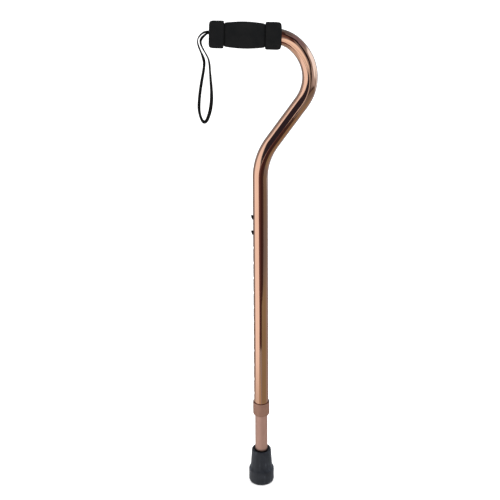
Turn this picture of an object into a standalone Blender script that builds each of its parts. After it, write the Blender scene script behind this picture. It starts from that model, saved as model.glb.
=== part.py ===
"""Single point cane with an offset handle, adjustable in height.

+Z is up and the shaft stands on Z. The origin is the middle of the rubber tip's
underside, where it meets the floor. The handle reaches towards -X and the bend
swings out to +X, so the cane lies in the XZ plane. The cane is at its shortest
setting, with the two snap buttons in the two highest holes.
"""

import math

import bmesh
import bpy
from mathutils import Matrix, Vector

MM = 0.001
GAP = 0.3 * MM
SIDES = 24
ROUND_STEP = 0.3  # a rounded edge has a point this share of its radius in from both sides

# Outer tube: 7/8 in, bent, with the row of height holes on its -X side.
TUBE_RADIUS = 11.1 * MM
TUBE_BORE = 9.9 * MM
TUBE_END = 133.0 * MM
LOWER_BEND_START = 531.0 * MM
LOWER_BEND_RADIUS = 100.0 * MM
LOWER_BEND_TURN = math.radians(34.0)
DIAGONAL_LENGTH = 74.5 * MM
MAIN_BEND_RADIUS = 70.0 * MM
MAIN_BEND_TURN = math.radians(80.0)
UPPER_BEND_RADIUS = 46.0 * MM
UPPER_BEND_TURN = math.radians(42.0)
HANDLE_LENGTH = 88.0 * MM
BEND_STEP = math.radians(8.0)

# Height setting: 13 holes one inch apart, the buttons fill the top two.
HOLE_COUNT = 13
HOLE_PITCH = 25.4 * MM
HOLE_RADIUS = 4.0 * MM
TOP_HOLE = 465.4 * MM
HOLE_SIDES = 16

# Inner tube: 3/4 in, standing in the rubber tip.
LEG_RADIUS = 9.5 * MM
LEG_BORE = 8.25 * MM
LEG_BOTTOM = 17.0 * MM
LEG_TOP = 489.0 * MM
LEG_HOLE_RADIUS = 3.9 * MM

# Locking collar and the split ring that it squeezes onto the inner tube.
COLLAR_BOTTOM = 124.0 * MM
COLLAR_TOP = 146.4 * MM
COLLAR_RADIUS = 12.6 * MM
COLLAR_BORE = 11.45 * MM
COLLAR_LIP_BORE = 9.9 * MM
COLLAR_LIP = 2.0 * MM
COLLAR_ROUND = 2.2 * MM
COLLAR_EDGE = 0.3 * MM
COLLAR_MOUTH = 2.0 * MM
RING_RADIUS = 11.05 * MM
RING_BORE = 9.8 * MM
RING_CHAMFER = 0.8 * MM
RING_SLIT = 1.6 * MM

# Rubber tip and the washer that keeps the tube's end from cutting through it.
TIP_HEIGHT = 59.0 * MM
TIP_FLOOR = 15.0 * MM
TIP_FOOT_RADIUS = 19.5 * MM
TIP_STEP_HEIGHT = 23.5 * MM
TIP_NECK_RADIUS = 16.7 * MM
TIP_NECK_BOTTOM = 29.5 * MM
TIP_RIM_RADIUS = 14.9 * MM
TIP_MOUTH_RADIUS = 12.3 * MM
TIP_MOUTH_DEPTH = 7.0 * MM
TIP_LIP = 0.8 * MM
TIP_WAIST_HEIGHT = 12.0 * MM
TIP_WAIST = 0.2 * MM
TIP_EDGE = 3.2 * MM
TREAD_INNER = 8.0 * MM
TREAD_OUTER = 11.6 * MM
TREAD_SLOPE = 0.6 * MM
TREAD_DEPTH = 1.2 * MM
WASHER_RADIUS = 9.2 * MM
WASHER_HOLE = 3.2 * MM
WASHER_THICKNESS = 1.4 * MM

# V-shaped snap spring inside the inner tube, its bend at the bottom.
SPRING_BEND_HEIGHT = 370.0 * MM
SPRING_BEND_RADIUS = 3.0 * MM
SPRING_BEND_STEPS = 8
SPRING_KNEE_HEIGHT = 407.0 * MM
SPRING_SPREAD = 6.9 * MM
SPRING_FRONT_TOP = 475.0 * MM
SPRING_BACK_TOP = 455.0 * MM
SPRING_THICKNESS = 0.8 * MM
SPRING_WIDTH = 6.0 * MM
SHANK_RADIUS = 1.4 * MM
SHANK_HOLE_RADIUS = 1.8 * MM
RIVET_RADIUS = 2.4 * MM
RIVET_THICKNESS = 0.9 * MM
BUTTON_RADIUS = 3.5 * MM
BUTTON_REACH = 13.0 * MM
BUTTON_EDGE = 0.6 * MM
BUTTON_CROWN = 0.2 * MM
BUTTON_SLOPE = 0.33
BUTTON_SIDES = 20

# Sliding bush in the inner tube's top end.
BUSH_LENGTH = 10.0 * MM
BUSH_FLANGE = 2.6 * MM
BUSH_FLANGE_RADIUS = 9.55 * MM
BUSH_HOLE = 3.0 * MM

# Foam grip: a barrel between two rings. Places along it start at its front face.
GRIP_FRONT = 90.2 * MM
GRIP_LENGTH = 101.6 * MM
GRIP_BORE = TUBE_RADIUS + GAP
GRIP_RING_RADIUS = 19.4 * MM
GRIP_NECK_RADIUS = 16.8 * MM
GRIP_CROWN_RADIUS = 19.0 * MM
GRIP_FRONT_RING = 21.0 * MM
GRIP_BACK_RING = 22.5 * MM
GRIP_ROUND = 2.4 * MM
BARREL_ROWS = 8

# Plug in the handle's open end, with the slot that the wrist strap passes through.
PLUG_FLANGE = 1.9 * MM
PLUG_FLANGE_RADIUS = 11.0 * MM
PLUG_SHANK_RADIUS = 9.5 * MM
PLUG_DEPTH = 16.0 * MM
SLOT_RISE = 3.0 * MM
SLOT_HEIGHT = 4.0 * MM
SLOT_WIDTH = 5.6 * MM
CLASP_RADIUS = 5.4 * MM
CLASP_DEPTH = 17.8 * MM
CLASP_LENGTH = 5.0 * MM
CLASP_EDGE = 0.6 * MM

# Wrist strap: out of the slot, down round the loop and back, in millimetres.
STRAP_THICKNESS = 1.5 * MM
STRAP_POINTS = 80
STRAP_ROUTE = (
    (-53.7, 0.0, 757.55), (-62.0, 0.0, 757.85), (-69.5, 0.0, 758.1),
    (-74.5, -0.1, 758.1), (-79.2, -0.3, 756.4), (-83.4, -0.6, 752.8),
    (-86.2, -0.9, 748.2), (-87.0, -1.2, 743.4), (-85.8, -1.5, 737.4),
    (-83.2, -1.8, 730.0), (-80.4, -2.0, 722.4), (-78.6, -2.2, 716.0),
    (-78.2, -2.3, 709.5), (-79.4, -2.4, 699.5), (-81.8, -2.4, 686.0),
    (-84.2, -2.2, 671.0), (-86.0, -1.8, 656.0), (-86.7, -1.4, 643.5),
    (-86.0, -1.0, 634.0), (-84.3, -0.6, 626.4), (-82.2, -0.3, 621.6),
    (-79.2, 0.0, 619.3), (-76.2, 0.3, 621.8), (-73.9, 0.6, 627.0),
    (-71.5, 1.0, 634.8), (-69.7, 1.4, 644.5), (-68.7, 1.8, 655.5),
    (-68.7, 2.1, 668.0), (-69.5, 2.2, 683.0), (-70.3, 2.1, 697.0),
    (-70.9, 1.9, 708.0), (-72.5, 1.7, 716.7), (-75.8, 1.4, 724.3),
    (-79.2, 1.1, 731.0), (-81.9, 0.8, 737.5), (-82.8, 0.5, 743.2),
    (-81.2, 0.3, 747.9), (-77.4, 0.1, 752.2), (-73.6, 0.0, 755.4),
    (-69.5, 0.0, 756.2), (-62.0, 0.0, 755.95), (-53.7, 0.0, 755.65),
)

# Colours as (red, green, blue), roughness and metallic value.
BRONZE = ((0.56, 0.31, 0.20), 0.14, 1.0)
DULL_BRONZE = ((0.30, 0.17, 0.13), 0.42, 0.9)
BLACK_FOAM = ((0.012, 0.012, 0.012), 0.85, 0.0)
GREY_RUBBER = ((0.030, 0.034, 0.040), 0.65, 0.0)
BLACK_PLASTIC = ((0.015, 0.015, 0.016), 0.45, 0.0)
WHITE_NYLON = ((0.75, 0.74, 0.70), 0.40, 0.0)
BLACK_WEBBING = ((0.010, 0.010, 0.011), 0.75, 0.0)
SPRING_STEEL = ((0.45, 0.46, 0.48), 0.30, 1.0)
DARK_STEEL = ((0.10, 0.10, 0.11), 0.35, 1.0)
ZINC_STEEL = ((0.60, 0.61, 0.62), 0.35, 1.0)


def clear_scene():
    for obj in list(bpy.data.objects):
        bpy.data.objects.remove(obj, do_unlink=True)


def finish_material(obj, finish):
    colour, roughness, metallic = finish
    material = bpy.data.materials.new(obj.name + "_finish")
    material.use_nodes = True
    shader = material.node_tree.nodes["Principled BSDF"]
    shader.inputs["Base Color"].default_value = (*colour, 1.0)
    shader.inputs["Roughness"].default_value = roughness
    shader.inputs["Metallic"].default_value = metallic
    material.diffuse_color = (*colour, 1.0)
    obj.data.materials.append(material)


def new_object(name, data, finish=None):
    obj = bpy.data.objects.new(name, data)
    bpy.context.scene.collection.objects.link(obj)
    if finish:
        finish_material(obj, finish)
    return obj


def mesh_object(name, bm, finish=None):
    """An object from a bmesh, with its faces pointing out and its round sides smooth."""
    bmesh.ops.recalc_face_normals(bm, faces=bm.faces)
    mesh = bpy.data.meshes.new(name)
    bm.to_mesh(mesh)
    bm.free()
    mesh.shade_smooth()
    mesh.set_sharp_from_angle(angle=math.radians(40.0))
    return new_object(name, mesh, finish)


def ring_body(name, rings, hollow, finish=None):
    """A closed body through equal rings of points. A hollow one joins its last ring to
    its first; a solid one gets a flat cap at each end."""
    bm = bmesh.new()
    loops = [[bm.verts.new(point) for point in ring] for ring in rings]
    pairs = list(zip(loops, loops[1:]))
    if hollow:
        pairs.append((loops[-1], loops[0]))
    else:
        bm.faces.new(loops[0])
        bm.faces.new(loops[-1])
    count = len(loops[0])
    for here, there in pairs:
        for i in range(count):
            j = (i + 1) % count
            bm.faces.new((here[i], here[j], there[j], there[i]))
    return mesh_object(name, bm, finish)


def circle(radius, sides):
    angles = [2.0 * math.pi * i / sides for i in range(sides)]
    return [(radius * math.cos(a), radius * math.sin(a)) for a in angles]


def turned(name, profile, hollow, finish=None, sides=SIDES):
    """A body turned about Z from (radius, height) points."""
    rings = [[(x, y, height) for x, y in circle(radius, sides)] for radius, height in profile]
    return ring_body(name, rings, hollow, finish)


def centre_line():
    """The outer tube's centre line from its lower end up, as (length, turn) pieces."""
    return (
        (LOWER_BEND_START - TUBE_END, 0.0),
        (LOWER_BEND_RADIUS * LOWER_BEND_TURN, -LOWER_BEND_TURN),
        (DIAGONAL_LENGTH, 0.0),
        (MAIN_BEND_RADIUS * MAIN_BEND_TURN, MAIN_BEND_TURN),
        (UPPER_BEND_RADIUS * UPPER_BEND_TURN, UPPER_BEND_TURN),
        (GRIP_FRONT, 0.0),
    )


def place_on_line(distance):
    """The centre line's place and heading at a distance from the tube's lower end."""
    x, z, heading = 0.0, TUBE_END, math.pi / 2.0
    for length, turn in centre_line():
        step = min(distance, length)
        if turn == 0.0:
            x += step * math.cos(heading)
            z += step * math.sin(heading)
        else:
            radius = length / turn
            ahead = heading + turn * step / length
            x += radius * (math.sin(ahead) - math.sin(heading))
            z -= radius * (math.cos(ahead) - math.cos(heading))
            heading = ahead
        distance -= step
        if distance <= 0.0:
            break
    return Vector((x, 0.0, z)), heading


def line_length():
    return sum(length for length, _ in centre_line())


def tube_stops():
    """Distances at which the outer tube needs a ring: its ends and steps round each bend."""
    stops, walked = [0.0], 0.0
    for length, turn in centre_line():
        steps = max(1, round(abs(turn) / BEND_STEP))
        stops += [walked + length * i / steps for i in range(1, steps + 1)]
        walked += length
    stops[-1] = line_length() - (GRIP_FRONT - HANDLE_LENGTH)
    return stops


def ring_on_line(distance, radius):
    """A ring of points square to the centre line."""
    centre, heading = place_on_line(distance)
    normal = Vector((-math.sin(heading), 0.0, math.cos(heading)))
    across = Vector((0.0, 1.0, 0.0))
    return [centre + normal * x + across * y for x, y in circle(radius, SIDES)]


def in_handle(depth):
    """The matrix that lays local +Z on the handle's straight axis, outwards, at a depth
    behind the grip's front face. Local +X then points up."""
    front, heading = place_on_line(line_length())
    place = front - Vector((math.cos(heading), 0.0, math.sin(heading))) * depth
    return Matrix.Translation(place) @ Matrix.Rotation(math.pi / 2.0 - heading, 4, "Y")


def cut(obj, cutter):
    modifier = obj.modifiers.new("cut_" + cutter.name, "BOOLEAN")
    modifier.operation = "DIFFERENCE"
    modifier.solver = "EXACT"
    modifier.object = cutter


def as_cutter(obj):
    obj.hide_render = True
    obj.display_type = "WIRE"
    return obj


def side_holes(name, radius, heights):
    """A cutter: one short round bar along -X at each height."""
    bm = bmesh.new()
    length = TUBE_RADIUS
    for height in heights:
        place = Matrix.Translation((-TUBE_RADIUS, 0.0, height))
        bmesh.ops.create_cone(
            bm, cap_ends=True, segments=HOLE_SIDES, radius1=radius, radius2=radius,
            depth=length, matrix=place @ Matrix.Rotation(math.pi / 2.0, 4, "Y"),
        )
    return as_cutter(mesh_object(name, bm))


def block_cutter(name, size, matrix):
    bm = bmesh.new()
    bmesh.ops.create_cube(bm, size=1.0, matrix=matrix @ Matrix.Diagonal((*size, 1.0)))
    return as_cutter(mesh_object(name, bm))


def pivot(name, location):
    empty = new_object(name, None)
    empty.location = location
    return empty


def hang_on(parent, *pieces):
    """Parents pieces to an empty and keeps them where they stand."""
    for piece in pieces:
        piece.parent = parent
        piece.location -= parent.location


def hole_heights():
    return [TOP_HOLE - HOLE_PITCH * i for i in range(HOLE_COUNT)]


def button_heights():
    return hole_heights()[:2]


def upper_tube():
    """The bent tube: rings out along its outer side and back along its bore."""
    rings = [ring_on_line(stop, TUBE_RADIUS) for stop in tube_stops()]
    rings += [ring_on_line(stop, TUBE_BORE) for stop in reversed(tube_stops())]
    tube = ring_body("upper_tube", rings, True, BRONZE)
    cut(tube, side_holes("height_holes", HOLE_RADIUS, hole_heights()))
    return tube


def rounded_ring(start, length):
    """Grip rows over one raised ring, its two outer edges rounded."""
    end = start + length
    corner = GRIP_RING_RADIUS - GRIP_ROUND
    inset = ROUND_STEP * GRIP_ROUND
    return [
        (start, corner),
        (start + inset, GRIP_RING_RADIUS - inset),
        (start + GRIP_ROUND, GRIP_RING_RADIUS),
        (end - GRIP_ROUND, GRIP_RING_RADIUS),
        (end - inset, GRIP_RING_RADIUS - inset),
        (end, corner),
    ]


def barrel_rows():
    """Grip rows over the crowned barrel between the two rings."""
    start = GRIP_FRONT_RING + GAP
    length = GRIP_LENGTH - GRIP_BACK_RING - GAP - start
    rows = []
    for i in range(BARREL_ROWS + 1):
        share = i / BARREL_ROWS
        swell = (GRIP_CROWN_RADIUS - GRIP_NECK_RADIUS) * math.sin(math.pi * share)
        rows.append((start + share * length, GRIP_NECK_RADIUS + swell))
    return rows


def grip_ring(along, radius):
    """A ring of points square to the handle's straight axis."""
    handle = in_handle(along)
    return [handle @ Vector((x, y, 0.0)) for x, y in circle(radius, SIDES)]


def grip_bore_ring(along):
    """A ring of the grip's bore. It follows the tube into the upper bend, where the
    tube crosses the ring's plane at a slant."""
    place, heading = place_on_line(line_length() - along)
    drop = in_handle(along).inverted() @ place
    slant = math.cos(place_on_line(line_length())[1] - heading)
    return [
        in_handle(along) @ Vector((drop.x + x, y, 0.0))
        for x, y in circle(GRIP_BORE / slant, SIDES)
    ]


def foam_grip():
    rows = rounded_ring(0.0, GRIP_FRONT_RING) + barrel_rows()
    rows += rounded_ring(GRIP_LENGTH - GRIP_BACK_RING, GRIP_BACK_RING)
    rings = [grip_ring(along, radius) for along, radius in rows]
    rings += [grip_bore_ring(GRIP_LENGTH * share) for share in (1.0, 0.96, 0.92, 0.88, 0.0)]
    return ring_body("foam_grip", rings, True, BLACK_FOAM)


def handle_plug():
    profile = (
        (PLUG_SHANK_RADIUS, -PLUG_DEPTH),
        (PLUG_SHANK_RADIUS, -PLUG_FLANGE),
        (PLUG_FLANGE_RADIUS, -PLUG_FLANGE),
        (PLUG_FLANGE_RADIUS, 0.0),
    )
    plug = turned("handle_plug", profile, False, BLACK_PLASTIC)
    plug.matrix_world = in_handle(0.0)
    slot = in_handle(0.5 * PLUG_DEPTH) @ Matrix.Translation((SLOT_RISE, 0.0, 0.0))
    cut(plug, block_cutter("strap_slot", (SLOT_HEIGHT, SLOT_WIDTH, 2.0 * PLUG_DEPTH), slot))
    return plug


def strap_clasp():
    """The crimped ferrule on the strap's two ends, too wide to pass the plug's slot."""
    profile = (
        (CLASP_RADIUS - CLASP_EDGE, 0.0),
        (CLASP_RADIUS, CLASP_EDGE),
        (CLASP_RADIUS, CLASP_LENGTH - CLASP_EDGE),
        (CLASP_RADIUS - CLASP_EDGE, CLASP_LENGTH),
    )
    clasp = turned("strap_clasp", profile, False, ZINC_STEEL)
    clasp.matrix_world = in_handle(CLASP_DEPTH + CLASP_LENGTH)
    return clasp


def smooth_line(points, count):
    """Points evenly spaced along a smooth curve through the given points."""
    fine = []
    steps = 12
    ends = [points[0]] + list(points) + [points[-1]]
    for before, here, there, after in zip(ends, ends[1:], ends[2:], ends[3:]):
        for i in range(steps):
            t = i / steps
            fine.append(0.5 * (
                2.0 * here + (there - before) * t
                + (2.0 * before - 5.0 * here + 4.0 * there - after) * t * t
                + (3.0 * here - before - 3.0 * there + after) * t ** 3
            ))
    fine.append(points[-1])
    walked = [0.0]
    for here, there in zip(fine, fine[1:]):
        walked.append(walked[-1] + (there - here).length)
    spaced, k = [], 0
    for i in range(count):
        target = walked[-1] * i / (count - 1)
        while k < len(fine) - 2 and walked[k + 1] < target:
            k += 1
        share = (target - walked[k]) / (walked[k + 1] - walked[k])
        spaced.append(fine[k].lerp(fine[k + 1], share))
    return spaced


def wrist_strap():
    route = [Vector(point) * MM for point in STRAP_ROUTE]
    curve = bpy.data.curves.new("wrist_strap", "CURVE")
    curve.dimensions = "3D"
    curve.bevel_depth = STRAP_THICKNESS / 2.0
    curve.bevel_resolution = 2
    curve.use_fill_caps = True
    spline = curve.splines.new("POLY")
    places = smooth_line(route, STRAP_POINTS)
    spline.points.add(len(places) - 1)
    for point, place in zip(spline.points, places):
        point.co = (*place, 1.0)
    return new_object("wrist_strap", curve, BLACK_WEBBING)


def locking_collar():
    """An open sleeve round the tube's end, with a lip under the clamp ring."""
    floor = COLLAR_BOTTOM + COLLAR_LIP
    inset = ROUND_STEP * COLLAR_ROUND
    profile = (
        (COLLAR_LIP_BORE, floor),
        (COLLAR_LIP_BORE, COLLAR_BOTTOM),
        (COLLAR_RADIUS - COLLAR_ROUND, COLLAR_BOTTOM),
        (COLLAR_RADIUS - inset, COLLAR_BOTTOM + inset),
        (COLLAR_RADIUS, COLLAR_BOTTOM + COLLAR_ROUND),
        (COLLAR_RADIUS, COLLAR_TOP - 2.0 * COLLAR_EDGE),
        (COLLAR_RADIUS - COLLAR_EDGE, COLLAR_TOP),
        (COLLAR_RADIUS - 2.0 * COLLAR_EDGE, COLLAR_TOP),
        (COLLAR_BORE, COLLAR_TOP - COLLAR_MOUTH),
        (COLLAR_BORE, floor),
    )
    return turned("locking_collar", profile, True, DULL_BRONZE)


def clamp_ring():
    bottom = COLLAR_BOTTOM + COLLAR_LIP + GAP
    top = TUBE_END - GAP
    profile = (
        (RING_BORE, bottom),
        (RING_RADIUS - RING_CHAMFER, bottom),
        (RING_RADIUS, bottom + RING_CHAMFER),
        (RING_RADIUS, top),
        (RING_BORE, top),
    )
    ring = turned("clamp_ring", profile, True, WHITE_NYLON)
    middle = Matrix.Translation((RING_RADIUS, 0.0, 0.5 * (bottom + top)))
    size = (RING_RADIUS, RING_SLIT, 2.0 * (top - bottom))
    cut(ring, block_cutter("ring_slit", size, middle))
    return ring


def lower_tube():
    profile = (
        (LEG_BORE, LEG_BOTTOM),
        (LEG_RADIUS, LEG_BOTTOM),
        (LEG_RADIUS, LEG_TOP),
        (LEG_BORE, LEG_TOP),
    )
    leg = turned("lower_tube", profile, True, DULL_BRONZE)
    cut(leg, side_holes("button_holes", LEG_HOLE_RADIUS, button_heights()))
    return leg


def slide_bush():
    profile = (
        (BUSH_HOLE, LEG_TOP - BUSH_LENGTH),
        (LEG_BORE - GAP, LEG_TOP - BUSH_LENGTH),
        (LEG_BORE - GAP, LEG_TOP + GAP),
        (BUSH_FLANGE_RADIUS, LEG_TOP + GAP),
        (BUSH_FLANGE_RADIUS, LEG_TOP + GAP + BUSH_FLANGE),
        (BUSH_HOLE, LEG_TOP + GAP + BUSH_FLANGE),
    )
    return turned("slide_bush", profile, True, WHITE_NYLON)


def rubber_tip():
    """A socket for the leg over a wider foot, its profile from the socket's floor up over
    the rim, down the outside and under the foot to the flat disc in the middle."""
    inset = ROUND_STEP * TIP_EDGE
    profile = (
        (LEG_RADIUS + GAP, TIP_FLOOR),
        (LEG_RADIUS + GAP, TIP_HEIGHT - TIP_MOUTH_DEPTH),
        (TIP_MOUTH_RADIUS, TIP_HEIGHT - TIP_LIP),
        (TIP_MOUTH_RADIUS + TIP_LIP, TIP_HEIGHT),
        (TIP_RIM_RADIUS - TIP_LIP, TIP_HEIGHT),
        (TIP_RIM_RADIUS, TIP_HEIGHT - 1.5 * TIP_LIP),
        (TIP_NECK_RADIUS, TIP_NECK_BOTTOM),
        (TIP_NECK_RADIUS + 0.3 * MM, TIP_NECK_BOTTOM - 1.8 * MM),
        (TIP_FOOT_RADIUS - 1.6 * MM, TIP_STEP_HEIGHT + 2.0 * MM),
        (TIP_FOOT_RADIUS - 0.4 * MM, TIP_STEP_HEIGHT + 0.4 * MM),
        (TIP_FOOT_RADIUS, TIP_STEP_HEIGHT - 2.0 * MM),
        (TIP_FOOT_RADIUS - TIP_WAIST, TIP_WAIST_HEIGHT),
        (TIP_FOOT_RADIUS, 1.4 * TIP_EDGE),
        (TIP_FOOT_RADIUS - inset, inset),
        (TIP_FOOT_RADIUS - TIP_EDGE, 0.0),
        (TREAD_OUTER, 0.0),
        (TREAD_OUTER - TREAD_SLOPE, TREAD_DEPTH),
        (TREAD_INNER + TREAD_SLOPE, TREAD_DEPTH),
        (TREAD_INNER, 0.0),
    )
    return turned("rubber_tip", profile, False, GREY_RUBBER)


def tip_washer():
    bottom = TIP_FLOOR + GAP
    top = bottom + WASHER_THICKNESS
    profile = (
        (WASHER_HOLE, bottom),
        (WASHER_RADIUS, bottom),
        (WASHER_RADIUS, top),
        (WASHER_HOLE, top),
    )
    return turned("tip_washer", profile, True, ZINC_STEEL)


def spring_line():
    """The spring's middle line in (x, z): the front leaf down, round the bend, the back leaf up."""
    line = [(-SPRING_SPREAD, SPRING_FRONT_TOP), (-SPRING_SPREAD, SPRING_KNEE_HEIGHT)]
    for i in range(SPRING_BEND_STEPS + 1):
        angle = math.pi + math.pi * i / SPRING_BEND_STEPS
        x = SPRING_BEND_RADIUS * math.cos(angle)
        line.append((x, SPRING_BEND_HEIGHT + SPRING_BEND_RADIUS * math.sin(angle)))
    return line + [(SPRING_SPREAD, SPRING_KNEE_HEIGHT), (SPRING_SPREAD, SPRING_BACK_TOP)]


def button_spring():
    """A steel strip bent to a V: rectangles square to the line, joined end to end."""
    line = [Vector((x, 0.0, z)) for x, z in spring_line()]
    rings = []
    for i, place in enumerate(line):
        ahead = line[min(i + 1, len(line) - 1)] - line[max(i - 1, 0)]
        normal = Vector((ahead.z, 0.0, -ahead.x)).normalized() * SPRING_THICKNESS / 2.0
        side = Vector((0.0, SPRING_WIDTH / 2.0, 0.0))
        rings.append([place + normal + side, place + normal - side,
                      place - normal - side, place - normal + side])
    spring = ring_body("button_spring", rings, False, SPRING_STEEL)
    cut(spring, side_holes("shank_holes", SHANK_HOLE_RADIUS, button_heights()))
    return spring


def snap_button(name, height):
    """A button riveted to the front leaf: sloped head, shank, and closed end behind the
    leaf. It is turned about local Z, which then points to -X."""
    leaf_front = SPRING_SPREAD + SPRING_THICKNESS / 2.0
    leaf_back = SPRING_SPREAD - SPRING_THICKNESS / 2.0
    profile = (
        (RIVET_RADIUS, leaf_back - GAP - RIVET_THICKNESS),
        (RIVET_RADIUS, leaf_back - GAP),
        (SHANK_RADIUS, leaf_back - GAP),
        (SHANK_RADIUS, leaf_front + GAP),
        (BUTTON_RADIUS, leaf_front + GAP),
        (BUTTON_RADIUS, BUTTON_REACH - BUTTON_EDGE),
        (BUTTON_RADIUS - BUTTON_EDGE, BUTTON_REACH),
        (0.4 * BUTTON_RADIUS, BUTTON_REACH + BUTTON_CROWN),
    )
    button = turned(name, profile, False, DARK_STEEL, BUTTON_SIDES)
    for vertex in button.data.vertices:
        if vertex.co.z > BUTTON_REACH - 1.5 * BUTTON_EDGE:
            vertex.co.z += BUTTON_SLOPE * vertex.co.x
    button.matrix_world = Matrix.Translation((0.0, 0.0, height)) @ Matrix.Rotation(
        -math.pi / 2.0, 4, "Y"
    )
    return button


def build():
    clear_scene()

    # The lower leg stands on the floor and holds everything inside it.
    lower_tube()
    slide_bush()
    rubber_tip()
    tip_washer()
    button_spring()

    # The snap buttons swing in with the spring's front leaf, about the foot of its line.
    press_pivot = pivot("press_pivot", (-SPRING_SPREAD, 0.0, SPRING_BEND_HEIGHT))
    for name, height in zip(("upper_button", "lower_button"), button_heights()):
        hang_on(press_pivot, snap_button(name, height))

    # The outer tube and all that is on it slide up and down on the leg.
    height_slide = pivot("height_slide", (0.0, 0.0, TUBE_END))
    hang_on(height_slide, upper_tube(), foam_grip(), handle_plug(), strap_clasp())
    hang_on(height_slide, wrist_strap(), clamp_ring())

    # The collar turns on the outer tube's end, and its origin is on the shaft's axis.
    locking_collar()
    bpy.context.view_layer.update()


build()
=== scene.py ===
"""The looks of the single point cane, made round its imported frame.

Every piece stands where the frame has it: +Z up, the shaft on Z, the handle towards -X.
Sizes are metres, written in millimetres times MM. A piece is a skin of rings of points,
and its material is worked out from nodes.
"""

import math

import bmesh
import bpy
from mathutils import Matrix, Vector, noise

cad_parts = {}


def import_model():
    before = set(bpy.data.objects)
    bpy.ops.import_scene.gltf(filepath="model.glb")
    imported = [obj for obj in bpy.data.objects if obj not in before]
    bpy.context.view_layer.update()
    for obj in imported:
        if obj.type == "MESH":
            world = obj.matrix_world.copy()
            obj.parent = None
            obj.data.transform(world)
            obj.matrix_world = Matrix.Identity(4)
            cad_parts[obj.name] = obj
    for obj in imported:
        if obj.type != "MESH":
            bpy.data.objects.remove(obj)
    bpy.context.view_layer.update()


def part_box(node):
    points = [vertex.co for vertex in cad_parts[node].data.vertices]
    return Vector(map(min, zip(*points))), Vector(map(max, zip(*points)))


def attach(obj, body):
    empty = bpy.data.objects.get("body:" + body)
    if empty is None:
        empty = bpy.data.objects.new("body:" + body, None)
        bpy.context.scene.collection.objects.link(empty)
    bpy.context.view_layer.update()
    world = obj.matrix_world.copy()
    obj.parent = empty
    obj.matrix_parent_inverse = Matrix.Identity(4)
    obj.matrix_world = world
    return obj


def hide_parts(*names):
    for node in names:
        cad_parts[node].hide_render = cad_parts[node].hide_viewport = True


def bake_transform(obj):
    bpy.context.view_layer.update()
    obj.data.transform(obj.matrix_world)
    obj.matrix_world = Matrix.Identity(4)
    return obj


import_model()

MM = 0.001
ROUND_STEPS = 5
CURVE_STEPS = 24
SHARP_EDGE = 38.0

# The outer tube's centre line from its lower end up, as the frame has it.
TUBE_RADIUS = 11.1 * MM
TUBE_BORE = 9.9 * MM
TUBE_END = 133.0 * MM
LOWER_BEND_START = 531.0 * MM
LOWER_BEND_RADIUS = 100.0 * MM
LOWER_BEND_TURN = math.radians(34.0)
DIAGONAL_LENGTH = 74.5 * MM
MAIN_BEND_RADIUS = 70.0 * MM
MAIN_BEND_TURN = math.radians(80.0)
UPPER_BEND_RADIUS = 46.0 * MM
UPPER_BEND_TURN = math.radians(42.0)
HANDLE_LENGTH = 88.0 * MM
GRIP_FRONT = 90.2 * MM
BEND_STEP = math.radians(2.5)

# The skins of both tubes: columns of points round them, with a patch about each hole.
COLUMNS = 64
PATCH_HALF = 5
PATCH_ROWS = 10
PATCH_HEIGHT = 12.7 * MM
PATCH_STEPS = (0.3, 0.6, 0.82, 0.94)
LIP = 0.22 * MM

# Height holes and buttons.
HOLE_PITCH = 25.4 * MM
HOLE_COUNT = 13
HOLE_RADIUS = 4.0 * MM
TOP_HOLE = 465.4 * MM
LEG_HOLE_RADIUS = 3.9 * MM
LEG_RADIUS = 9.5 * MM
LEG_BORE = 8.25 * MM
BUTTON_RADIUS = 3.5 * MM
BUTTON_REACH = 13.0 * MM
BUTTON_SLOPE = 0.33
BUTTON_HEAD = 1.3 * MM
BUTTON_DOME = 0.2 * MM
BUTTON_GAP = 0.3 * MM
BUTTON_SHANK = 1.4 * MM
BUTTON_RIVET = 2.4 * MM
BUTTON_RIVET_DEPTH = 0.9 * MM
BUTTON_AXIS = 0.2 * MM
BUTTON_SIDES = 56
SPRING_SPREAD = 6.9 * MM
SPRING_THICKNESS = 0.8 * MM
SPRING_WIDTH = 6.0 * MM
SPRING_BEND_RADIUS = 3.0 * MM
SPRING_BEND_STEPS = 24
SPRING_KNEE = 37.0 * MM
SPRING_KNEE_ROUND = 8.0 * MM
SPRING_STEP = 20.0 * MM
SPRING_ROUND = 0.2 * MM
SPRING_ROW = 1.0 * MM
SPRING_END_ROWS = 3

# Foam grip: places along it start at its front face.
GRIP_LENGTH = 101.6 * MM
GRIP_BORE = 11.3 * MM
GRIP_RING_RADIUS = 19.4 * MM
GRIP_NECK_RADIUS = 16.8 * MM
GRIP_CROWN_RADIUS = 19.0 * MM
GRIP_FRONT_RING = 21.0 * MM
GRIP_BACK_RING = 22.5 * MM
GRIP_RIM = ((4.6 * MM, 0.0, 2.0 * MM), (1.1 * MM, 1.2 * MM, 2.0 * MM), (0.0, 5.0 * MM, 2.0 * MM))
GRIP_ROUND = 3.0 * MM
GRIP_LIP = 1.2 * MM
GRIP_GROOVE = 1.1 * MM
GRIP_ROW = 0.8 * MM
GRIP_SIDES = 120
GRIP_SLOT = 0.25 * MM
GRIP_TUCK = 1.0 * MM
GRIP_STEPS = 60
GRIP_WAVES = ((55.0, 0.16 * MM), (210.0, 0.05 * MM))
GRIP_BORE_SHARES = (1.0, 0.97, 0.94, 0.91, 0.88, 0.0)

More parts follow.
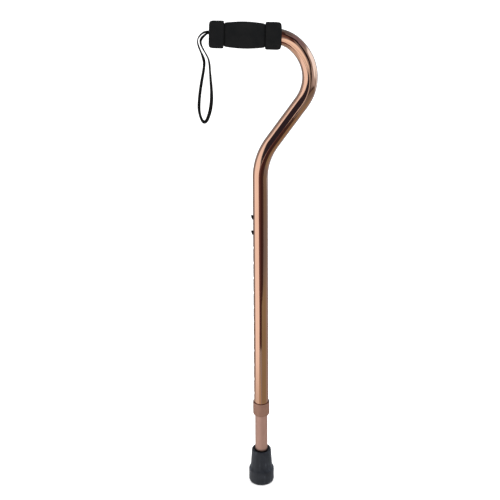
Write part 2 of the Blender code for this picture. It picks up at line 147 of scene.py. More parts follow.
# Plug, its strap slot as (length, width, round), and the clasp behind it, which lie on the
# handle's line. Bodies turned about Z start this far from it.
AXIS_HOLE = 0.4 * MM
AXIS_POINT = 0.3 * MM
PLUG_LENGTH = 16.0 * MM
PLUG_SHANK = 9.5 * MM
PLUG_FLANGE = 11.0 * MM
PLUG_FLANGE_DEPTH = 1.9 * MM
PLUG_DISH = 0.35 * MM
SLOT = (4.0 * MM, 5.6 * MM, 0.9 * MM)
SLOT_PLACE = 3.0 * MM
CLASP_RADIUS = 5.4 * MM
CLASP_LENGTH = 5.0 * MM
CLASP_ROUND = 0.8 * MM
CLASP_ROW = 0.3 * MM
CLASP_SIDES = 72
CLASP_DENTS = 3.0
CLASP_DENT = 0.12
CLASP_DEPTH = 22.8 * MM

# Collar, clamp ring, bush and washer.
COLLAR_LIP_BORE = 9.9 * MM
COLLAR_LIP = 2.0 * MM
COLLAR_BORE = 11.45 * MM
COLLAR_MOUTH = 2.2 * MM
COLLAR_EDGE = 0.75 * MM
CLAMP_BORE = 9.8 * MM
CLAMP_SLIT = 1.6 * MM
CLAMP_STEPS = 96
BUSH_BORE = 3.0 * MM
BUSH_SHANK = 7.65 * MM
BUSH_RIB = 7.95 * MM
BUSH_FLANGE = 2.6 * MM
BUSH_RIBS = (1.6 * MM, 4.0 * MM, 6.4 * MM)
WASHER_BORE = 3.2 * MM

# Rubber tip: its socket, its rim as (radius, down from the top, round), and its outside below
# the rim as (in from the foot, height, round).
TIP_BORE = 9.8 * MM
TIP_FLOOR = 15.0 * MM
TIP_SIDES = 144
TIP_RIM = (
    (TIP_BORE, 7.0 * MM, 2.0 * MM), (12.3 * MM, 0.8 * MM, 0.5 * MM), (13.1 * MM, 0.0, 0.5 * MM),
    (14.1 * MM, 0.0, 0.6 * MM), (14.9 * MM, 1.2 * MM, 0.8 * MM), (15.05 * MM, 4.0 * MM, 0.6 * MM),
)
TIP_OUTSIDE = (
    (2.8 * MM, 29.5 * MM, 1.4 * MM), (2.5 * MM, 27.7 * MM, 0.9 * MM),
    (1.6 * MM, 25.5 * MM, 0.9 * MM), (0.3 * MM, 23.9 * MM, 0.9 * MM),
    (0.0, 21.5 * MM, 1.2 * MM), (0.2 * MM, 12.0 * MM, 3.0 * MM),
    (0.0, 4.5 * MM, 0.6 * MM), (1.0 * MM, 1.0 * MM, 0.9 * MM),
)
TIP_BEVEL = 3.2 * MM
TREAD = (
    (14.9 * MM, 0.0, 0.3 * MM), (14.5 * MM, 1.0 * MM, 0.3 * MM),
    (13.4 * MM, 1.0 * MM, 0.3 * MM), (13.0 * MM, 0.0, 0.3 * MM),
    (11.6 * MM, 0.0, 0.3 * MM), (11.0 * MM, 1.2 * MM, 0.4 * MM),
    (8.6 * MM, 1.2 * MM, 0.4 * MM), (8.0 * MM, 0.0, 0.3 * MM),
)

# Wrist strap: a flat tape through these points, in millimetres, with its turn about its own
# line at shares of its length. At 0 degrees its edge faces -Y.
STRAP_WIDTH = 5.0 * MM
STRAP_THICKNESS = 1.5 * MM
STRAP_ROUND = 0.35 * MM
STRAP_STEP = 0.7 * MM
STRAP_ROUTE = (
    (-53.7, 0.0, 757.55), (-62.0, 0.0, 757.85), (-69.5, 0.0, 758.1),
    (-74.5, -0.1, 758.1), (-79.2, -0.3, 756.4), (-83.4, -0.6, 752.8),
    (-86.2, -0.9, 748.2), (-87.0, -1.2, 743.4), (-85.8, -1.5, 737.4),
    (-83.2, -1.8, 730.0), (-80.4, -2.0, 722.4), (-78.6, -2.2, 716.0),
    (-78.2, -2.3, 709.5), (-79.4, -2.4, 699.5), (-81.8, -2.4, 686.0),
    (-84.2, -2.2, 671.0), (-86.0, -1.8, 656.0), (-86.7, -1.4, 643.5),
    (-86.0, -1.0, 634.0), (-84.3, -0.6, 626.4), (-82.2, -0.3, 621.6),
    (-79.2, 0.0, 619.3), (-76.2, 0.3, 621.8), (-73.9, 0.6, 627.0),
    (-71.5, 1.0, 634.8), (-69.7, 1.4, 644.5), (-68.7, 1.8, 655.5),
    (-68.7, 2.1, 668.0), (-69.5, 2.2, 683.0), (-70.3, 2.1, 697.0),
    (-70.9, 1.9, 708.0), (-72.5, 1.7, 716.7), (-75.8, 1.4, 724.3),
    (-79.2, 1.1, 731.0), (-81.9, 0.8, 737.5), (-82.8, 0.5, 743.2),
    (-81.2, 0.3, 747.9), (-77.4, 0.1, 752.2), (-73.6, 0.0, 755.4),
    (-69.5, 0.0, 756.2), (-62.0, 0.0, 755.95), (-53.7, 0.0, 755.65),
)
STRAP_TURNS = (
    (0.00, 0.0), (0.17, 4.0), (0.21, 34.0), (0.33, 46.0), (0.42, 46.0), (0.475, 24.0),
    (0.50, 26.0), (0.53, 50.0), (0.57, 80.0), (0.61, 68.0), (0.67, 42.0), (0.76, 24.0),
    (0.83, 20.0), (0.90, 26.0), (0.95, 0.0), (1.00, 0.0),
)

# Camera, as the picture was taken: how far, how high, how steeply down.
LENS = 144.22
CAMERA_PLACE = (-15.67 * MM, -2600.0 * MM, 1825.0 * MM)
CAMERA_PITCH = math.radians(61.46)
CAMERA_ROLL = math.radians(-0.404)
CAMERA_CLIP = 50.0

# Studio. The floor gives off a little light of its own, which keeps the cane's shadow faint.
FLOOR_RADIUS = 14.0
FLOOR_SIDES = 96
FLOOR_GLOW = 0.28
LIGHT_TARGET = (0.0, 0.0, 0.4)
LIGHTS = (
    # name, place, size, watts
    ("key", (-1.6, -1.8, 2.0), 1.6, 20.0),
    ("fill", (1.9, -1.2, 1.3), 1.8, 20.0),
    ("top", (0.1, 0.5, 2.6), 2.0, 20.0),
)
PALE = (1.0, 1.0, 1.0)
DIM = (0.055, 0.035, 0.035)

# The polished tube mirrors a drum of cards round the cane, which only reflections see. Each card
# is painted over the ones before it: its colour, half its width and the softness of its edge in
# metres, and its middle line in (degrees from the front towards +X, height).
TENT_RADIUS = 1.0
TENT_ROW = 0.03
TENT_ROWS = (-70, 85)
TENT_TURN = 2
TENT_BASE = (0.30, 0.30, 0.31)
TENT_CARDS = (
    ((1.10, 1.09, 1.08), 0.62, 0.14, ((-61, -0.20), (-67, 0.92))),
    ((0.95, 0.94, 0.92), 0.30, 0.16, ((-20, -0.98), (-20, -1.40))),
    ((0.62, 0.59, 0.53), 0.90, 0.22, ((-160, -1.36), (-40, -1.36))),
    ((0.30, 0.29, 0.26), 0.70, 0.40, ((-180, -2.10), (180, -2.10))),
    ((0.50, 0.42, 0.31), 0.12, 0.12, ((-28, -0.53), (-8, -0.53))),
    ((1.05, 1.04, 1.00), 0.15, 0.06, ((-17, -0.20), (-13, 0.05))),
    ((1.00, 0.98, 0.90), 0.09, 0.08, ((-8, -0.18), (0, 0.20))),
    ((0.30, 0.24, 0.16), 0.30, 0.15, ((20, -0.72), (100, -0.66))),
    ((0.34, 0.33, 0.33), 0.12, 0.12, ((-130, 0.35), (-124, 0.60))),
    ((0.030, 0.028, 0.042), 0.22, 0.08, ((-58, 0.88), (-50, 0.77), (-34, 0.51), (-20, 0.38),
                                         (-6, 0.46))),
    ((0.29, 0.26, 0.17), 0.20, 0.12, ((25, -0.38), (75, -0.33))),
    ((0.36, 0.32, 0.30), 0.22, 0.15, ((98, -0.40), (104, -0.20))),
    ((0.21, 0.21, 0.21), 0.12, 0.10, ((35, -0.08), (100, -0.06))),
    ((0.40, 0.42, 0.44), 0.12, 0.12, ((131, -0.60), (131, -0.10))),
    ((0.50, 0.52, 0.55), 0.14, 0.10, ((48, 0.33), (80, 0.26))),
    ((1.15, 1.40, 1.60), 0.26, 0.10, ((86, 0.68), (100, 0.72), (120, 0.66))),
    ((1.12, 1.34, 1.50), 0.15, 0.10, ((72, 0.48), (122, 0.48), (119, 0.18))),
    ((0.62, 0.68, 0.74), 0.10, 0.10, ((92, 0.36), (104, 0.40))),
    ((1.08, 1.06, 1.00), 0.17, 0.06, ((9, 0.46), (16, 0.60), (20, 0.76))),
    ((1.08, 1.06, 1.00), 0.05, 0.03, ((6, 0.33), (8, 0.46))),
    ((0.22, 0.20, 0.16), 0.07, 0.06, ((22, 0.04), (45, 0.00), (90, 0.02))),
    ((0.05, 0.035, 0.04), 0.035, 0.03, ((14, 0.18), (20, 0.16), (38, 0.11), (75, 0.10))),
    ((0.23, 0.21, 0.27), 0.42, 0.14, ((78, 1.50), (130, 1.46))),
    ((0.15, 0.09, 0.08), 0.42, 0.14, ((-40, 1.62), (28, 1.60))),
    ((0.13, 0.15, 0.17), 0.50, 0.25, ((110, 2.20), (170, 2.00))),
    ((0.035, 0.015, 0.020), 0.40, 0.14, ((-60, 2.40), (50, 2.40))),
    ((0.14, 0.18, 0.21), 0.45, 0.25, ((175, -0.30), (175, 2.30))),
    ((0.14, 0.18, 0.21), 0.45, 0.25, ((-175, -0.30), (-175, 2.30))),
    ((0.015, 0.008, 0.010), 0.055, 0.03, ((13, 0.26), (20, 0.28), (30, 0.38), (40, 0.54))),
    ((0.10, 0.05, 0.045), 0.10, 0.10, ((30, 1.00), (38, 1.20), (46, 1.45))),
    ((0.030, 0.012, 0.014), 0.24, 0.10, ((62, 1.45), (58, 1.75), (54, 2.10))),
    ((0.015, 0.008, 0.010), 0.115, 0.04, ((42, 0.60), (50, 0.80), (55, 1.00), (57, 1.15),
                                          (60, 1.40), (54, 1.75), (46, 2.10))),
)

# A dark stand between the shaft and the drum: rows of (height, left, right) in metres and
# degrees, and its colours at its left, middle and right.
STAND_RADIUS = 0.30
STAND_COLUMNS = 16
STAND_ROWS = (
    (0.07, -22, 12), (0.155, -22, 15), (0.195, -24, 38), (0.265, -25, 45), (0.37, -25, 47),
    (0.40, -25, 42), (0.43, -28, 28), (0.445, -10, 24), (0.505, 0, 20),
)
STAND_COLOURS = ((0.20, 0.10, 0.10), (0.05, 0.022, 0.022), (0.07, 0.05, 0.045))

# Materials. A Mix node's colour sockets share their names with others, so they go by number.
MIX_COLOUR_INPUTS = (0, 6, 7)
MIX_COLOUR_OUTPUT = 2
# The leg's painted shade where it goes into the tip: full up to this far above the tip's top, then
# fading out over the next span.
SHADE_TOP = 0.8 * MM
SHADE_FADE = 1.5 * MM
ZINC = ((0.50, 0.51, 0.52), (0.64, 0.65, 0.66))


# ---------------------------------------------------------------- geometry

def soften(profile, joined=False):
    """(x, y) points of a profile of (x, y, round) corners, each corner with a size made round."""
    points = []
    last = len(profile) - 1
    for i, (x, y, size) in enumerate(profile):
        corner = Vector((x, y))
        if size == 0.0 or (not joined and i in (0, last)):
            points.append(corner)
            continue
        before = Vector(profile[i - 1][:2]) - corner
        after = Vector(profile[(i + 1) % len(profile)][:2]) - corner
        start = corner + before.normalized() * min(size, 0.48 * before.length)
        end = corner + after.normalized() * min(size, 0.48 * after.length)
        for k in range(ROUND_STEPS + 1):
            t = k / ROUND_STEPS
            points.append(start.lerp(corner, t).lerp(corner.lerp(end, t), t))
    return points


def rounded_box(length, width, size):
    """The outline of a box about the origin, its corners made round."""
    x, y = length / 2.0, width / 2.0
    return soften([(x, y, size), (-x, y, size), (-x, -y, size), (x, -y, size)], True)


def ring_section(bore, low, high, bore_round, foot_round, top_round):
    """The outline of a ring's cut: from its bore out to a box's side, between its heights."""
    return soften([
        (bore, low.z, bore_round), (high.x, low.z, foot_round),
        (high.x, high.z, top_round), (bore, high.z, bore_round),
    ], True)


def circle(radius, sides):
    angles = [2.0 * math.pi * i / sides for i in range(sides)]
    return [(radius * math.cos(a), radius * math.sin(a)) for a in angles]


def bridge(bm, here, there):
    """Faces between two equal rings of vertices."""
    count = len(here)
    for i in range(count):
        j = (i + 1) % count
        bm.faces.new((here[i], here[j], there[j], there[i]))


def finish_mesh(name, bm, sharp=SHARP_EDGE):
    """An object from a bmesh: normals out, smooth but for its sharp edges."""
    bmesh.ops.recalc_face_normals(bm, faces=bm.faces)
    mesh = bpy.data.meshes.new(name)
    bm.to_mesh(mesh)
    bm.free()
    mesh.shade_smooth()
    mesh.set_sharp_from_angle(angle=math.radians(sharp))
    piece = bpy.data.objects.new(name, mesh)
    bpy.context.scene.collection.objects.link(piece)
    return piece


def ring_piece(name, rings, joined, sharp=SHARP_EDGE):
    """A closed body through equal rings of points, its ends capped unless they are joined."""
    bm = bmesh.new()
    loops = [[bm.verts.new(point) for point in ring] for ring in rings]
    for here, there in zip(loops, loops[1:]):
        bridge(bm, here, there)
    if joined:
        bridge(bm, loops[-1], loops[0])
    else:
        bm.faces.new(loops[0])
        bm.faces.new(loops[-1])
    return finish_mesh(name, bm, sharp)


def turned(name, profile, joined, sides=96):
    """A body turned about Z from (radius, height) points."""
    rings = [[(x, y, height) for x, y in circle(radius, sides)] for radius, height in profile]
    return ring_piece(name, rings, joined)


def carve(piece, cutter):
    """Cuts a closed mesh out of a piece for good, and deletes it."""
    modifier = piece.modifiers.new("carve", "BOOLEAN")
    modifier.solver = "EXACT"
    modifier.object = cutter
    bpy.context.view_layer.update()
    evaluated = piece.evaluated_get(bpy.context.evaluated_depsgraph_get())
    mesh = bpy.data.meshes.new_from_object(evaluated)
    piece.modifiers.clear()
    piece.data = mesh
    bpy.data.objects.remove(cutter, do_unlink=True)


def smooth_line(points, step):
    """Points a step apart along a smooth curve through the given points."""
    fine = []
    ends = [points[0]] + list(points) + [points[-1]]
    for before, here, there, after in zip(ends, ends[1:], ends[2:], ends[3:]):
        for i in range(CURVE_STEPS):
            t = i / CURVE_STEPS
            fine.append(0.5 * (
                2.0 * here + (there - before) * t
                + (2.0 * before - 5.0 * here + 4.0 * there - after) * t * t
                + (3.0 * here - before - 3.0 * there + after) * t ** 3
            ))
    fine.append(points[-1])
    walked = [0.0]
    for here, there in zip(fine, fine[1:]):
        walked.append(walked[-1] + (there - here).length)
    count = round(walked[-1] / step)
    spaced, k = [], 0
    for i in range(count + 1):
        target = walked[-1] * i / count
        while k < len(fine) - 2 and walked[k + 1] < target:
            k += 1
        share = (target - walked[k]) / (walked[k + 1] - walked[k])
        spaced.append(fine[k].lerp(fine[k + 1], share))
    return spaced


def keyed(keys, place):
    """A value eased between (place, value) keys."""
    for (low, first), (high, second) in zip(keys, keys[1:]):
        if place <= high:
            t = max(0.0, place - low) / (high - low)
            return first + (second - first) * t * t * (3.0 - 2.0 * t)
    return keys[-1][1]


# ---------------------------------------------------------------- the bent tube's line

def centre_line():
    return (
        (LOWER_BEND_START - TUBE_END, 0.0),
        (LOWER_BEND_RADIUS * LOWER_BEND_TURN, -LOWER_BEND_TURN),
        (DIAGONAL_LENGTH, 0.0),
        (MAIN_BEND_RADIUS * MAIN_BEND_TURN, MAIN_BEND_TURN),
        (UPPER_BEND_RADIUS * UPPER_BEND_TURN, UPPER_BEND_TURN),
        (GRIP_FRONT, 0.0),
    )


def place_on_line(distance):
    """The centre line's place and heading at a distance from the tube's lower end."""
    x, z, heading = 0.0, TUBE_END, math.pi / 2.0
    for length, turn in centre_line():
        step = min(distance, length)
        if turn == 0.0:
            x += step * math.cos(heading)
            z += step * math.sin(heading)
        else:
            radius = length / turn
            ahead = heading + turn * step / length
            x += radius * (math.sin(ahead) - math.sin(heading))
            z -= radius * (math.cos(ahead) - math.cos(heading))
            heading = ahead
        distance -= step
        if distance <= 0.0:
            break
    return Vector((x, 0.0, z)), heading


def line_length():
    return sum(length for length, _ in centre_line())


def bend_stops():
    """Distances of the tube's rings above its straight shaft."""
    stops, walked = [], 0.0
    for length, turn in centre_line():
        steps = max(1, round(abs(turn) / BEND_STEP))
        stops += [walked + length * i / steps for i in range(1, steps + 1)]
        walked += length
    stops[-1] = line_length() - (GRIP_FRONT - HANDLE_LENGTH)
    return stops[1:]


def in_handle(depth):
    """Lays local +Z on the handle's straight axis, outwards, at a depth behind the grip's
    front face. Local +X then points up."""
    front, heading = place_on_line(line_length())
    place = front - Vector((math.cos(heading), 0.0, math.sin(heading))) * depth
    return Matrix.Translation(place) @ Matrix.Rotation(math.pi / 2.0 - heading, 4, "Y")


# ---------------------------------------------------------------- tubes with round side holes

class TubeSkin:
    """Collects a tube's vertices with their true normals and their place on the tube as if it
    were straight, which its material reads."""

    def __init__(self):
        self.bm = bmesh.new()
        self.normals = []
        self.straight = []
        self.worn = []

    def point(self, place, normal, straight, worn=0.0):
        self.normals.append(normal)
        self.straight.append(straight)
        self.worn.append(worn)
        return self.bm.verts.new(place)

    def round_shaft(self, radius, angle, height, inward):
        place = Vector((-radius * math.cos(angle), radius * math.sin(angle), height))
        normal = Vector((place.x, place.y, 0.0)).normalized() * inward
        return self.point(place, normal, place)

    def object(self, name):
        """The finished object, with its normals set to the true ones."""
        piece = finish_mesh(name, self.bm, 60.0)
        mesh = piece.data
        for title, kind, values in (
            ("straight", "FLOAT_VECTOR", [c for place in self.straight for c in place]),
            ("worn", "FLOAT", self.worn),
        ):
            layer = mesh.attributes.new(title, kind, "POINT")
            layer.data.foreach_set("vector" if kind == "FLOAT_VECTOR" else "value", values)
        mesh.normals_split_custom_set_from_vertices(self.normals)
        return piece


def column_angle(column):
    return 2.0 * math.pi * column / COLUMNS


def patch_edge(rows, low):
    """The square of points round a hole, from its lower +Y corner up and round."""
    side = range(PATCH_ROWS)
    across = range(2 * PATCH_HALF)
    edge = [rows[low + j][PATCH_HALF] for j in side]
    edge += [rows[low + PATCH_ROWS][(PATCH_HALF - j) % COLUMNS] for j in across]
    edge += [rows[low + PATCH_ROWS - j][-PATCH_HALF % COLUMNS] for j in side]
    edge += [rows[low][(j - PATCH_HALF) % COLUMNS] for j in across]
    return edge


def patch_loop(skin, radius, inward, edge, hole, hole_radius, share):
    """A ring of points between a patch's square edge (share 0) and its hole (share 1)."""
    loop = []
    for k, vertex in enumerate(edge):
        turn = 2.0 * math.pi * k / len(edge) - math.pi / 4.0
        hole_angle = math.asin(hole_radius * math.cos(turn) / radius)
        edge_angle = math.atan2(vertex.co.y, -vertex.co.x)
        angle = edge_angle + (hole_angle - edge_angle) * share
        height = vertex.co.z + (hole + hole_radius * math.sin(turn) - vertex.co.z) * share
        loop.append(skin.round_shaft(radius, angle, height, inward))
    return loop


def shaft_skin(skin, radius, inward, bottom, top, holes, hole_radius):
    """One skin of a straight shaft on Z with holes, given from the lowest up. Returns its
    lowest ring, its highest ring and the lip of each hole."""
    levels = [bottom]
    for hole in holes:
        start = hole - PATCH_HEIGHT / 2.0
        levels += [start + PATCH_HEIGHT * j / PATCH_ROWS for j in range(PATCH_ROWS + 1)]
    levels.append(top)
    rows = []
    for level in levels:
        cut = any(abs(level - hole) < 0.49 * PATCH_HEIGHT for hole in holes)
        rows.append({
            column: skin.round_shaft(radius, column_angle(column), level, inward)
            for column in range(COLUMNS)
            if not cut or min(column, COLUMNS - column) >= PATCH_HALF
        })
    for low, high in zip(rows, rows[1:]):
        for column in range(COLUMNS):
            beside = (column + 1) % COLUMNS
            corners = [low.get(column), low.get(beside), high.get(beside), high.get(column)]
            if None not in corners:
                skin.bm.faces.new(corners)
    lips = []
    for number, hole in enumerate(holes):
        here = patch_edge(rows, 1 + number * (PATCH_ROWS + 1))
        edge = here
        for share in PATCH_STEPS + (1.0,):
            there = patch_loop(skin, radius, inward, edge, hole, hole_radius + LIP, share)
            bridge(skin.bm, here, there)
            here = there
        lips.append(here)
    ends = [[row[column] for column in range(COLUMNS)] for row in (rows[0], rows[-1])]
    return ends[0], ends[1], lips


def hole_wall(skin, outer, inner, outer_lip, inner_lip, hole, hole_radius):
    """The rounded wall of a hole between the two skins' lips."""
    here = outer_lip
    for radius, worn in ((outer - LIP, 1.0), (inner + LIP, 0.4)):
        there = []
        for k in range(len(outer_lip)):
            turn = 2.0 * math.pi * k / len(outer_lip) - math.pi / 4.0
            y = hole_radius * math.cos(turn)
            place = Vector((
                -math.sqrt(radius * radius - y * y), y, hole + hole_radius * math.sin(turn)
            ))
            there.append(skin.point(place, Vector(), place, worn))
        bridge(skin.bm, here, there)
        here = there
    bridge(skin.bm, here, inner_lip)


def end_wall(skin, outer_ring, inner_ring, outer, inner, matrix):
    """The rounded end of a tube, in the plane of a matrix."""
    here = outer_ring
    for radius in (outer - LIP, inner + LIP):
        there = []
        for column in range(COLUMNS):
            angle = column_angle(column)
            local = Vector((-radius * math.cos(angle), radius * math.sin(angle), 0.0))
            there.append(skin.point(matrix @ local, Vector(), matrix @ local, 0.6))
        bridge(skin.bm, here, there)
        here = there
    bridge(skin.bm, here, inner_ring)


def bent_rings(skin, radius, inward, ring):
    """Goes on from the shaft's highest ring round the bends to the handle's open end."""
    for stop in bend_stops():
        centre, heading = place_on_line(stop)
        normal = Vector((-math.sin(heading), 0.0, math.cos(heading)))
        there = []
        for column in range(COLUMNS):
            angle = column_angle(column)
            out = normal * math.cos(angle) + Vector((0.0, math.sin(angle), 0.0))
            straight = Vector((
                -radius * math.cos(angle), radius * math.sin(angle), TUBE_END + stop
            ))
            there.append(skin.point(centre + out * radius, out * inward, straight))
        bridge(skin.bm, ring, there)
        ring = there
    return ring


def hole_heights():
    return [TOP_HOLE - HOLE_PITCH * i for i in reversed(range(HOLE_COUNT))]


def upper_tube():
    skin = TubeSkin()
    ends = []
    for radius, inward in ((TUBE_RADIUS, 1.0), (TUBE_BORE, -1.0)):
        low, high, lips = shaft_skin(
            skin, radius, inward, TUBE_END + LIP, LOWER_BEND_START, hole_heights(), HOLE_RADIUS
        )
        ends.append((low, bent_rings(skin, radius, inward, high), lips))
    (low, high, lips), (low_in, high_in, lips_in) = ends
    for hole, lip, lip_in in zip(hole_heights(), lips, lips_in):
        hole_wall(skin, TUBE_RADIUS, TUBE_BORE, lip, lip_in, hole, HOLE_RADIUS)
    end_wall(skin, low, low_in, TUBE_RADIUS, TUBE_BORE,
             Matrix.Translation((0.0, 0.0, TUBE_END)))
    front = in_handle(GRIP_FRONT - HANDLE_LENGTH - LIP) @ Matrix.Scale(-1.0, 4, (1, 0, 0))
    end_wall(skin, high, high_in, TUBE_RADIUS, TUBE_BORE, front)
    return skin.object("outer_tube")


def lower_tube():
    low_end, high_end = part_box("lower_tube")
    holes = hole_heights()[-2:]
    skin = TubeSkin()
    skins = [
        shaft_skin(skin, radius, inward, low_end.z + LIP, high_end.z - LIP, holes,
                   LEG_HOLE_RADIUS)
        for radius, inward in ((LEG_RADIUS, 1.0), (LEG_BORE, -1.0))
    ]
    (low, high, lips), (low_in, high_in, lips_in) = skins
    for hole, lip, lip_in in zip(holes, lips, lips_in):
        hole_wall(skin, LEG_RADIUS, LEG_BORE, lip, lip_in, hole, LEG_HOLE_RADIUS)
    for ring, ring_in, height in ((low, low_in, low_end.z), (high, high_in, high_end.z)):
        end_wall(skin, ring, ring_in, LEG_RADIUS, LEG_BORE,
                 Matrix.Translation((0.0, 0.0, height)))
    return skin.object("inner_tube")


# ---------------------------------------------------------------- handle

def grip_profile():
    """(radius, place) points over the grip's outside, from its front face to its back."""
    back = GRIP_LENGTH - GRIP_BACK_RING
    groove = GRIP_NECK_RADIUS - GRIP_GROOVE
    rim = [(GRIP_RING_RADIUS - x, along, size) for x, along, size in GRIP_RIM]
    front = soften([(GRIP_BORE + GRIP_LIP, 0.0, 0.0), *rim,
                    (GRIP_RING_RADIUS, GRIP_FRONT_RING, GRIP_ROUND),
                    (groove, GRIP_FRONT_RING, 0.0)])
    rear = soften([(groove, back, 0.0), (GRIP_RING_RADIUS, back, GRIP_ROUND)]
                  + [(radius, GRIP_LENGTH - along, size) for radius, along, size in rim[::-1]]
                  + [(GRIP_BORE + GRIP_LIP, GRIP_LENGTH, 0.0)])
    barrel = []
    start, end = GRIP_FRONT_RING + GRIP_SLOT, back - GRIP_SLOT
    for i in range(GRIP_STEPS + 1):
        share = i / GRIP_STEPS
        swell = (GRIP_CROWN_RADIUS - GRIP_NECK_RADIUS) * math.sin(math.pi * share)
        tuck = GRIP_TUCK * abs(2.0 * share - 1.0) ** 24
        barrel.append(Vector((GRIP_NECK_RADIUS + swell - tuck, start + share * (end - start))))
    return front, barrel, rear


def even_rows(profile, step):
    """Adds points to a profile so that none are further apart than a step."""
    rows = [profile[0]]
    for here, there in zip(profile, profile[1:]):
        steps = max(1, math.ceil((there - here).length / step))
        rows += [here.lerp(there, k / steps) for k in range(1, steps + 1)]
    return rows


def grip_bore_ring(along):
    """A ring of the grip's bore, which follows the tube into the upper bend."""
    place, heading = place_on_line(line_length() - along)
    handle = in_handle(along)
    drop = handle.inverted() @ place
    slant = math.cos(place_on_line(line_length())[1] - heading)
    return [
        handle @ Vector((drop.x + x, y, 0.0)) for x, y in circle(GRIP_BORE / slant, GRIP_SIDES)
    ]


def foam_grip():
    """The grip's outside, pressed a little uneven as foam is, and its bore."""
    front, barrel, rear = grip_profile()
    rows = even_rows(front + barrel + rear, GRIP_ROW)
    rings = []
    for radius, along in rows:
        handle = in_handle(along)
        ring = []
        for x, y in circle(radius, GRIP_SIDES):
            place = handle @ Vector((x, y, 0.0))
            out = (handle.to_3x3() @ Vector((x, y, 0.0))).normalized()
            wave = sum(noise.noise(place * pitch) * depth for pitch, depth in GRIP_WAVES)
            ring.append(place + out * wave)
        rings.append(ring)
    rings += [grip_bore_ring(GRIP_LENGTH * share) for share in GRIP_BORE_SHARES]
    return ring_piece("grip", rings, True, 50.0)


def handle_plug():
    """The plug in the handle's end: a domed flange on a shank, with the strap's slot."""
    profile = soften([
        (AXIS_HOLE, -PLUG_LENGTH, 0.0),
        (PLUG_SHANK, -PLUG_LENGTH, 1.2 * MM),
        (PLUG_SHANK, -PLUG_FLANGE_DEPTH, 0.0),
        (PLUG_FLANGE, -PLUG_FLANGE_DEPTH, 0.2 * MM),
        (PLUG_FLANGE, -0.4 * MM, 0.8 * MM),
        (PLUG_FLANGE - 2.5 * MM, 0.0, 0.6 * MM),
        (PLUG_FLANGE - 3.2 * MM, -PLUG_DISH, 0.3 * MM),
        (AXIS_HOLE, -PLUG_DISH, 0.0),
    ])
    plug = turned("end_plug", profile, False)
    bm = bmesh.new()
    loops = [
        [bm.verts.new((x + SLOT_PLACE, y, height)) for x, y in rounded_box(*SLOT)]
        for height in (-2.0 * PLUG_LENGTH, PLUG_LENGTH)
    ]
    bridge(bm, loops[0], loops[1])
    bm.faces.new(loops[0])
    bm.faces.new(loops[1])
    carve(plug, finish_mesh("slot_cutter", bm))
    plug.data.shade_smooth()
    plug.data.set_sharp_from_angle(angle=math.radians(SHARP_EDGE))
    plug.matrix_world = in_handle(0.0)
    return plug


def strap_clasp():
    """The crimped ferrule: a short sleeve with three dents."""
    rows = even_rows(soften([
        (AXIS_POINT, 0.0, 0.0), (CLASP_RADIUS, 0.0, CLASP_ROUND),
        (CLASP_RADIUS, CLASP_LENGTH, CLASP_ROUND), (AXIS_POINT, CLASP_LENGTH, 0.0),
    ]), CLASP_ROW)
    rings = []
    for ring_radius, height in rows:
        ring = []
        waist = math.sin(math.pi * height / CLASP_LENGTH) ** 2
        for x, y in circle(ring_radius, CLASP_SIDES):
            dent = max(0.0, math.cos(CLASP_DENTS * math.atan2(y, x))) ** 6 * waist
            shrunk = 1.0 - CLASP_DENT * dent
            ring.append(Vector((x, y, 0.0)) * shrunk + Vector((0.0, 0.0, height)))
        rings.append(ring)
    clasp = ring_piece("strap_ferrule", rings, False)
    clasp.matrix_world = in_handle(CLASP_DEPTH)
    return clasp


def strap_line():
    return smooth_line([Vector(point) * MM for point in STRAP_ROUTE], STRAP_STEP)


def wrist_strap():
    """The flat tape, swept along its line and turned about it."""
    line = strap_line()
    outline = rounded_box(STRAP_WIDTH, STRAP_THICKNESS, STRAP_ROUND)
    rings, woven = [], []
    for i, place in enumerate(line):
        ahead = (line[min(i + 1, len(line) - 1)] - line[max(i - 1, 0)]).normalized()
        across = Vector((0.0, 1.0, 0.0))
        across = (across - ahead * across.dot(ahead)).normalized()
        turn = Matrix.Rotation(math.radians(keyed(STRAP_TURNS, i / (len(line) - 1))), 3, ahead)
        wide = turn @ across
        thick = ahead.cross(wide)
        rings.append([place + wide * x + thick * y for x, y in outline])
        woven += [c for x, y in outline for c in (x, y, i * STRAP_STEP)]
    strap = ring_piece("tape_loop", rings, False, 50.0)
    layer = strap.data.attributes.new("woven", "FLOAT_VECTOR", "POINT")
    layer.data.foreach_set("vector", woven)
    return strap


# ---------------------------------------------------------------- shaft pieces

def locking_collar():
    low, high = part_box("locking_collar")
    radius = high.x
    profile = soften([
        (COLLAR_LIP_BORE, low.z + COLLAR_LIP, 0.0),
        (COLLAR_LIP_BORE, low.z, 0.4 * MM),
        (radius, low.z, 2.6 * MM),
        (radius, high.z, 0.5 * MM),
        (radius - COLLAR_EDGE, high.z, 0.25 * MM),
        (COLLAR_BORE, high.z - COLLAR_MOUTH, 0.5 * MM),
        (COLLAR_BORE, low.z + COLLAR_LIP, 0.0),
    ], True)
    return turned("collar_sleeve", profile, True, 128)


def rubber_tip():
    """The moulded tip: socket, rim, tapered neck, stepped foot and ringed tread."""
    low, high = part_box("rubber_tip")
    foot = high.x
    heel = foot - TIP_BEVEL
    outside = soften([
        (AXIS_POINT, TIP_FLOOR, 0.0),
        (TIP_BORE, TIP_FLOOR, 0.5 * MM),
        *[(radius, high.z - drop, size) for radius, drop, size in TIP_RIM],
        *[(foot - x, height, size) for x, height, size in TIP_OUTSIDE],
        (heel, 0.0, 0.0),
    ])
    tread = soften([(heel, 0.0, 0.4 * MM), *TREAD, (AXIS_POINT, 0.0, 0.0)])
    return turned("ferrule_tip", outside + tread[1:], False, TIP_SIDES)


def tip_washer():
    low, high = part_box("tip_washer")
    section = ring_section(WASHER_BORE, low, high, 0.2 * MM, 0.3 * MM, 0.3 * MM)
    return turned("steel_washer", section, True)


